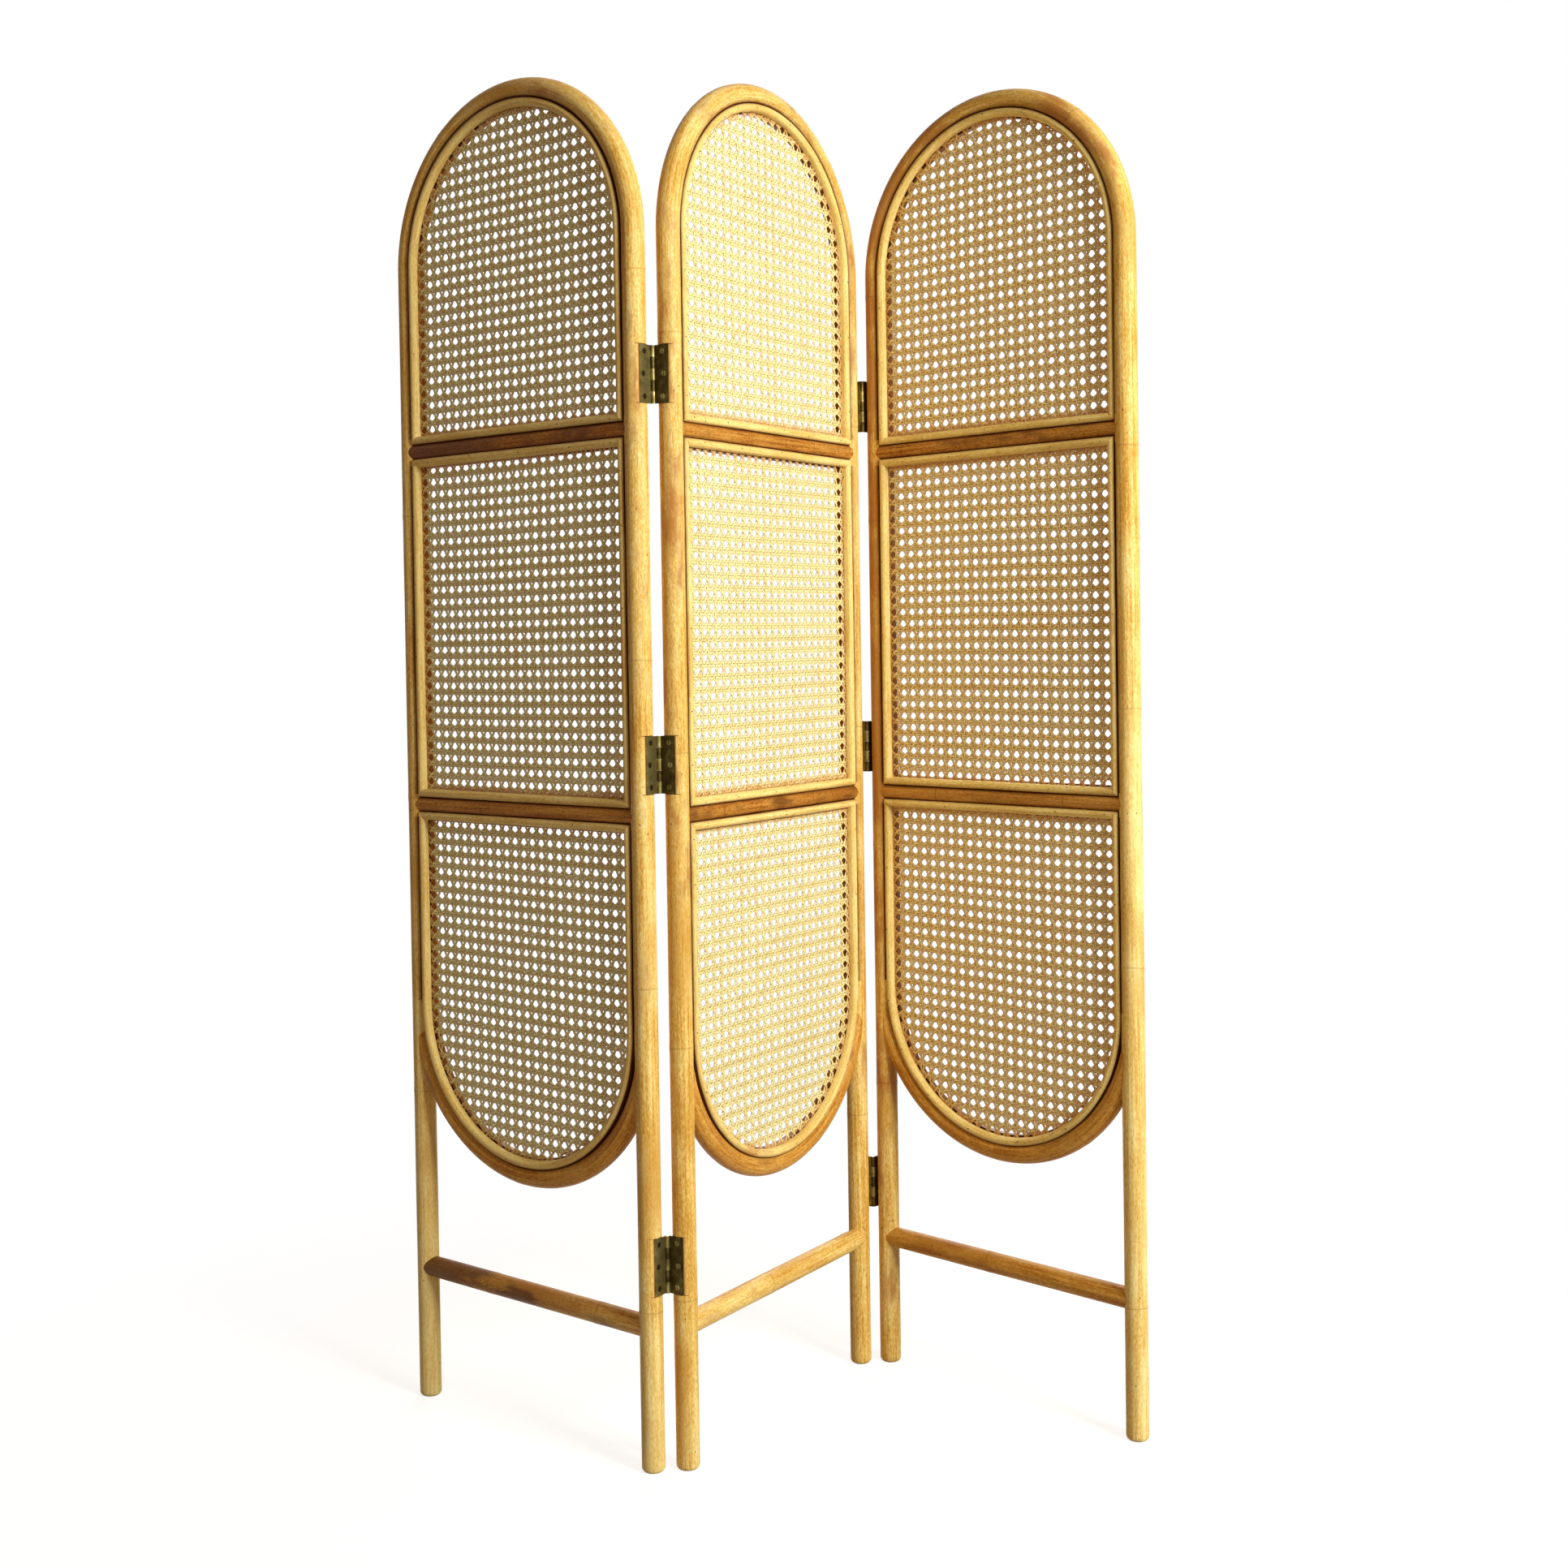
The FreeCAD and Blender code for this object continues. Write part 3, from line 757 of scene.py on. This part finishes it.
def rattan(name, deep, honey, pale, stain_and_shade, stained, ringed):
    """Varnished rattan: mottled and streaked along the stem, stained in patches, and darkened in the creases
    as painted shade.

    It has fine rings at the nodes, pinholes, and paler wood where it is sawn. A tone above 0 adds stain
    colour, and one below 0 makes the stem paler; the panels' tones use these as painted shade and painted
    light.
    """
    made = Finish(name)
    grain = made.attribute("grain")["Vector"]
    tone = made.attribute("tone")["Fac"]
    mottle = made.noise(made.stretch(grain, (1, 1, 0.3)), 620, 4, 0.65)
    streaks = made.noise(made.stretch(grain, (1, 1, 0.03)), 330, 3)
    fibres = made.noise(made.stretch(grain, (1, 1, 0.02)), 1500, 2)
    patches = made.noise(made.stretch(grain, (1, 1, 0.35)), 34, 3)
    value = made.blend((mottle, 0.4), (streaks, 0.35), (patches, 0.25))
    # A tone below 0 makes the stem paler: painted light
    painted_light = made.span(tone, -1.0, 0.0, 1.0, 0.0)
    shade = made.blend((value, 1.0), (painted_light, 0.05))
    colour = made.ramp(shade, (0.41, deep), (0.5, honey), (0.6, pale))
    broad = made.noise(made.stretch(grain, (1, 1, 0.5)), 11, 2)
    amber = made.blend((broad, 0.8), (streaks, 0.2))
    colour = made.mix(made.span(amber, 0.52, 0.66, 0.0, 0.6), colour, deep)
    # Stain patches, pushed further by a tone above 0, which is painted shade on stems set dark
    stains_and_shade = made.blend((patches, 0.75), (streaks, 0.25), (tone, 0.16))
    stains_and_shade = made.span(stains_and_shade, 0.64 - stained, 0.8 - stained, 0.0, 0.8)
    colour = made.mix(stains_and_shade, colour, stain_and_shade)
    colour = made.mix(made.math("MULTIPLY", painted_light, 0.35), colour, pale)
    wobble = made.math("MULTIPLY", made.math("SUBTRACT", patches, 0.5), 4.0 * MM)
    away = made.math("ABSOLUTE", made.math("ADD", made.attribute("node")["Fac"], wobble))
    ring = made.span(away, 0.3 * MM, 1.4 * MM, 1.0, 0.0)
    ring = made.math("MULTIPLY", ring, made.span(mottle, 0.4, 0.58, 0.2, 1.0))
    colour = made.mix(made.math("MULTIPLY", ring, ringed), colour, srgb(92, 50, 14))
    holes = made.span(made.dots(made.stretch(grain, (1, 1, 0.6)), 130), 0.07, 0.13, 1.0, 0.0)
    scatter = made.noise(grain, 24, 1)
    worn = made.blend((made.attribute("wear")["Fac"], 0.25), (scatter, 1.0))
    holes = made.math("MULTIPLY", holes, made.span(worn, 0.6, 0.68))
    colour = made.mix(made.math("MULTIPLY", holes, 0.8), colour, srgb(74, 40, 14))
    # Painted shade along the creases: a broad brown band and a dark core where beads meet the stem
    crease = made.math("ADD", made.attribute("crease")["Fac"], made.math("MULTIPLY", wobble, 0.4))
    colour = made.mix(made.span(crease, 1.0 * MM, 7.0 * MM, 0.5, 0.0), colour, srgb(120, 64, 16))
    crease = made.span(crease, 1.0 * MM, 2.8 * MM, 0.96, 0.0)
    colour = made.mix(crease, colour, srgb(74, 26, 6))
    bare = made.ramp(fibres, (0.3, srgb(168, 106, 48)), (0.7, srgb(222, 176, 108)))
    colour = made.mix(made.attribute("sawn")["Fac"], colour, bare)
    relief = made.blend((fibres, 1.0), (streaks, 1.0), (mottle, 1.0), (ring, -2.5), (holes, -2.5))
    made.bump(relief, 0.12 * MM)
    return made.finish(colour, made.span(value, 0.4, 0.6, 0.5, 0.38), gloss=0.12)


def woven_cane(name, brown, straw, pale, edge):
    """Natural cane: each strand has its own tone, with pale and brown stretches along it. Its edges are
    darkened as painted shade between the strands, and it turns orange near its outline as painted warm light
    bounced from the beads.
    """
    made = Finish(name)
    grain = made.attribute("grain")["Vector"]
    tone = made.attribute("tone")["Fac"]
    stretches = made.noise(made.stretch(grain, (0.3, 0.3, 1)), 26, 3)
    value = made.blend((tone, 0.28), (stretches, 0.6), (1.0, 0.06))
    colour = made.ramp(value, (0.22, brown), (0.45, straw), (0.72, pale))
    # Strand edges darkened towards the edge colour: painted shade between the strands
    side = made.span(made.attribute("side")["Fac"], 0.45, 1.0, 0.0, 0.85)
    colour = made.mix(side, colour, edge)
    # Orange near the cane's outline: painted warm light bounced from the beads
    bounce_tint = made.blend((made.attribute("margin")["Fac"], 40.0), (stretches, 1.0))
    colour = made.mix(made.span(bounce_tint, 0.72, 1.15, 0.7, 0.0), colour, srgb(188, 118, 46))
    fibres = made.noise(made.stretch(grain, (1, 1, 0.02)), 3000, 2)
    made.bump(fibres, 0.05 * MM)
    return made.finish(colour, made.span(stretches, 0.3, 0.7, 0.5, 0.38), gloss=0.3)


def aged_brass(name, dark, olive, rubbed):
    """Brass gone dark and olive, rubbed brighter in places."""
    made = Finish(name)
    place = made.place()
    patina = made.noise(place, 70, 4, 0.6)
    scuffs = made.noise(made.stretch(place, (1, 1, 0.1)), 900, 3)
    value = made.blend((patina, 0.7), (scuffs, 0.3))
    colour = made.ramp(value, (0.36, dark), (0.52, olive), (0.7, rubbed))
    made.bump(scuffs, 0.03 * MM)
    return made.finish(colour, made.span(value, 0.35, 0.65, 0.55, 0.34), metallic=1.0)


def highlit_pin(name):
    """Scuffed brass of the hinge pins, made nearly white as a painted highlight."""
    made = Finish(name)
    scuffs = made.noise(made.stretch(made.place(), (1, 1, 0.05)), 1200, 3)
    colour = made.ramp(scuffs, (0.3, srgb(206, 198, 170)), (0.7, srgb(246, 242, 226)))
    made.bump(scuffs, 0.02 * MM)
    return made.finish(colour, made.span(scuffs, 0.3, 0.7, 0.4, 0.25), metallic=1.0)


def nail_steel(name):
    """Dull steel of the nails."""
    made = Finish(name)
    spots = made.noise(made.place(), 900, 3)
    colour = made.ramp(spots, (0.3, srgb(96, 88, 78)), (0.7, srgb(150, 146, 138)))
    return made.finish(colour, made.span(spots, 0.3, 0.7, 0.6, 0.4), metallic=1.0)


light_rattan = rattan(
    "rattan", srgb(202, 144, 56), srgb(231, 188, 101), srgb(248, 226, 158), srgb(172, 100, 28), 0.02, 0.3
)
bead_rattan = rattan(
    "bead_rattan", srgb(218, 174, 92), srgb(239, 207, 128), srgb(248, 225, 156), srgb(192, 124, 42), 0.0, 0.0
)
# Rear beads: darker brown than the front beads, standing for the shade behind the cane: painted shade
rear_rattan = rattan(
    "rear_rattan", srgb(140, 78, 24), srgb(174, 112, 44), srgb(198, 144, 70), srgb(98, 46, 10), 0.05, 0.0
)
brown_rattan = rattan(
    "brown_rattan", srgb(172, 106, 36), srgb(206, 146, 60), srgb(226, 178, 92), srgb(140, 72, 16), 0.04, 0.4
)
dark_rattan = rattan(
    "dark_rattan", srgb(140, 80, 24), srgb(186, 124, 50), srgb(212, 156, 78), srgb(92, 42, 10), 0.09, 0.55
)
stained_rattan = rattan(
    "stained_rattan", srgb(178, 114, 46), srgb(212, 160, 80), srgb(232, 192, 116), srgb(88, 38, 10), 0.0, 0.6
)
straw_cane = woven_cane(
    "straw_cane", srgb(218, 184, 112), srgb(240, 224, 158), srgb(246, 237, 184), srgb(124, 68, 22)
)
# Warmer copy of the same cane for the right panel: painted warm bounce light
amber_cane = woven_cane(
    "amber_cane", srgb(226, 174, 104), srgb(246, 215, 146), srgb(252, 229, 172), srgb(122, 58, 16)
)
brass = aged_brass("aged_brass", srgb(84, 72, 36), srgb(128, 114, 68), srgb(176, 162, 112))
# Darker copy of the brass for hinge leaves that stood in shade: painted shade
dark_brass = aged_brass("dark_brass", srgb(44, 36, 14), srgb(70, 58, 26), srgb(112, 98, 58))
# Darker brass for the screw heads, standing for shade in their slots and rims: painted shade
screw_brass = aged_brass("screw_brass", srgb(40, 32, 16), srgb(74, 62, 36), srgb(140, 126, 88))
pin_brass = highlit_pin("pin_brass")
steel = nail_steel("nail_steel")

first_seed = 100

# Looks that differ from panel to panel: how dark the stems are, and the weave's shift in pitches.
# The stem tones are painted light and shade: a tone above 0 darkens a stem that stood in shade, and one
# below 0 makes a lit stem paler.
# A frame's tones run from its left foot over the arch to its right foot.
frame_shade_tone = {
    "left": (-0.9, 0.0, 0.5, 0.5, -0.6),
    "middle": (-0.3, 0.8, 0.6, 0.1, 0.6),
    "right": (0.3, 1.9, 1.2, -0.5, -0.3),
}
upper_bar_shade_tone = {"left": 1.2, "middle": 0.0, "right": 0.3}
lower_bar_shade_tone = {"left": -0.3, "middle": 0.6, "right": -0.5}
stretcher_looks = {
    # The left stretcher's dark colour is partly real stain and partly painted shade
    "left": ((2.2, 1.8, 1.0, 0.5, 0.0), stained_rattan),
    "middle": (0.3, light_rattan),
    "right": (0.3, brown_rattan),
}
weave_shift = {"left": -0.05, "middle": -0.14, "right": -0.09}
cane_finish = {"left": straw_cane, "middle": straw_cane, "right": amber_cane}


def dress_panel(panel, number):
    """All the pieces of one panel."""
    random = np.random.default_rng(first_seed + number)
    upper = bar_stem(upper_bar_height, bar_radius, crossbar_nodes, random, upper_bar_shade_tone[panel.name])
    lower = bar_stem(lower_bar_height, bar_radius, crossbar_nodes, random, lower_bar_shade_tone[panel.name])
    tone, finish = stretcher_looks[panel.name]
    stretcher = bar_stem(stretcher_height, stretcher_radius, stretcher_nodes, random, tone, beaded=False)
    made = {
        "frame": (frame_stem(panel, random, frame_shade_tone[panel.name]), light_rattan, "rattan"),
        "lower_rail": (rail_stem(random), brown_rattan, "rattan"),
        "upper_crossbar": (upper, dark_rattan, "dark_rattan"),
        "lower_crossbar": (lower, dark_rattan, "dark_rattan"),
        "stretcher": (stretcher, finish, "dark_rattan"),
    }
    for node, shells in panel_beads(random).items():
        made[node] = (shells, rear_rattan if node == "rear_beads" else bead_rattan, "rattan")
    for node, cane in canes().items():
        strands = weave(cane, weave_shift[panel.name], random)
        made[node] = (strands, cane_finish[panel.name], "woven_cane")
    for node, (shells, material, slot) in made.items():
        name = f"{panel.name}_{node}"
        piece(f"{name}_dressed", *shells, material, panel, slot, name)


def dress_cad_nodes():
    """Finish of the pieces that keep their CAD shape."""
    finishes = {
        "joint_nails": steel,
        # The pins' nearly white brass is a painted highlight
        "pins": pin_brass,
        "middle_hinge_screws": brass,
        # Screw heads take a darker brass as painted shade in their slots and rims
        "hinge_screws": screw_brass,
        # Hinge leaves that stood in shade, here and leaf_right below, take the darker brass as painted shade
        "left_joint_low_leaf_middle": dark_brass,
        "left_joint_mid_leaf_middle": dark_brass,
        "left_joint_top_leaf_middle": dark_brass,
        "leaf_right": dark_brass,
    }
    for name, node in frame["nodes"].items():
        if node.hide_render:
            continue
        material = next((finish for end, finish in finishes.items() if name.endswith(end)), brass)
        node.data.materials.clear()
        node.data.materials.append(material)


for number, panel in enumerate(panels):
    dress_panel(panel, number)
dress_cad_nodes()


def white_world():
    """Soft light all round, weaker from the left, in front of a white background."""
    world = bpy.data.worlds.new("studio")
    bpy.context.scene.world = world
    world.use_nodes = True
    tree = world.node_tree
    light = tree.nodes["Background"]
    light.inputs["Color"].default_value = (1.0, 0.65, 0.33, 1.0)
    place = tree.nodes.new("ShaderNodeTexCoord")
    split = tree.nodes.new("ShaderNodeSeparateXYZ")
    fade = tree.nodes.new("ShaderNodeMapRange")
    fade.inputs["From Min"].default_value = -1.0
    fade.inputs["From Max"].default_value = 1.0
    fade.inputs["To Min"].default_value = 0.04
    fade.inputs["To Max"].default_value = 0.24
    tree.links.new(place.outputs["Generated"], split.inputs[0])
    tree.links.new(split.outputs["X"], fade.inputs["Value"])
    tree.links.new(fade.outputs["Result"], light.inputs["Strength"])
    white = tree.nodes.new("ShaderNodeBackground")
    white.inputs["Color"].default_value = (1.0, 1.0, 1.0, 1.0)
    seen = seen_rays(tree)
    mix = tree.nodes.new("ShaderNodeMixShader")
    tree.links.new(seen, mix.inputs[0])
    tree.links.new(light.outputs[0], mix.inputs[1])
    tree.links.new(white.outputs[0], mix.inputs[2])
    tree.links.new(mix.outputs[0], tree.nodes["World Output"].inputs["Surface"])


def seen_rays(tree):
    """1 for rays from the camera, from gloss and through glass, 0 for the light on surfaces."""
    path = tree.nodes.new("ShaderNodeLightPath")
    value = path.outputs["Is Camera Ray"]
    for label in ("Is Glossy Ray", "Is Transmission Ray"):
        node = tree.nodes.new("ShaderNodeMath")
        node.operation = "MAXIMUM"
        tree.links.new(value, node.inputs[0])
        tree.links.new(path.outputs[label], node.inputs[1])
        value = node.outputs[0]
    return value


def white_floor():
    """Round white floor that keeps the shadow near the object and fades to white away from it."""
    radius = 30.0
    bpy.ops.mesh.primitive_circle_add(vertices=96, radius=radius, fill_type="NGON")
    floor = bpy.context.object
    floor.name = "floor"
    material = bpy.data.materials.new("white_floor")
    material.use_nodes = True
    tree = material.node_tree
    matte = tree.nodes["Principled BSDF"]
    matte.inputs["Base Color"].default_value = (0.34, 0.33, 0.31, 1.0)
    matte.inputs["Roughness"].default_value = 1.0
    matte.inputs["Specular IOR Level"].default_value = 0.0
    glow = tree.nodes.new("ShaderNodeEmission")
    near = tree.nodes.new("ShaderNodeEmission")
    near.inputs["Strength"].default_value = 0.82
    lit = tree.nodes.new("ShaderNodeAddShader")
    shaded = tree.nodes.new("ShaderNodeMixShader")
    place = tree.nodes.new("ShaderNodeTexCoord")
    distance = tree.nodes.new("ShaderNodeVectorMath")
    distance.operation = "LENGTH"
    tree.links.new(place.outputs["Object"], distance.inputs[0])
    fade = tree.nodes.new("ShaderNodeMapRange")
    fade.interpolation_type = "SMOOTHSTEP"
    fade.inputs["From Min"].default_value = 0.4
    fade.inputs["From Max"].default_value = 1.3
    fade.inputs["To Min"].default_value = 0.0
    fade.inputs["To Max"].default_value = 1.0
    tree.links.new(distance.outputs["Value"], fade.inputs["Value"])
    tree.links.new(matte.outputs[0], lit.inputs[0])
    tree.links.new(near.outputs[0], lit.inputs[1])
    tree.links.new(fade.outputs["Result"], shaded.inputs[0])
    tree.links.new(lit.outputs[0], shaded.inputs[1])
    tree.links.new(glow.outputs[0], shaded.inputs[2])
    mix = tree.nodes.new("ShaderNodeMixShader")
    tree.links.new(seen_rays(tree), mix.inputs[0])
    tree.links.new(matte.outputs[0], mix.inputs[1])
    tree.links.new(shaded.outputs[0], mix.inputs[2])
    tree.links.new(mix.outputs[0], tree.nodes["Material Output"].inputs["Surface"])
    floor.data.materials.append(material)


def lamp(name, place, target, size, power, colour):
    """Square soft lamp that faces a point."""
    data = bpy.data.lights.new(name, "AREA")
    data.size = size
    data.energy = power
    data.color = colour
    made = bpy.data.objects.new(name, data)
    made.location = place
    made.rotation_euler = (Vector(target) - Vector(place)).to_track_quat("-Z", "Y").to_euler()
    bpy.context.scene.collection.objects.link(made)


# Camera of the photograph: its place, and its turn about the upright, level and viewing axes
camera_place = Vector((0.01239, -2.49260, 1.00216))
camera_yaw = -0.0092
camera_pitch = -0.0230
camera_roll = -0.0153
camera_lens = 44.13
camera_shift = (-0.0023, -0.0604)


def photo_camera():
    """Camera at the photograph's viewpoint."""
    data = bpy.data.cameras.new("camera")
    data.sensor_width = 36.0
    data.lens = camera_lens
    data.shift_x, data.shift_y = camera_shift
    level = math.cos(camera_pitch)
    ahead = Vector(
        (-math.sin(camera_yaw) * level, math.cos(camera_yaw) * level, math.sin(camera_pitch))
    )
    right = Vector((math.cos(camera_yaw), math.sin(camera_yaw), 0.0))
    up = right.cross(ahead)
    turned_right = right * math.cos(camera_roll) + up * math.sin(camera_roll)
    turned_up = up * math.cos(camera_roll) - right * math.sin(camera_roll)
    turn = Matrix((turned_right, turned_up, -ahead)).transposed()
    made = bpy.data.objects.new("camera", data)
    made.matrix_world = Matrix.Translation(camera_place) @ turn.to_4x4()
    bpy.context.scene.collection.objects.link(made)
    bpy.context.scene.camera = made


white_world()
white_floor()
lamp("key", (2.10, -2.18, 1.95), (0.0, 0.0, 0.95), 1.0, 130.0, (0.94, 0.98, 0.9))
lamp("fill", (-1.6, -3.0, 1.2), (0.0, 0.0, 0.8), 2.4, 11.0, (1.0, 0.66, 0.38))
lamp("back", (0.5, 3.2, 2.1), (0.0, 0.0, 0.9), 2.4, 70.0, (1.0, 0.9, 0.74))
photo_camera()
bpy.context.scene.view_settings.view_transform = "Standard"
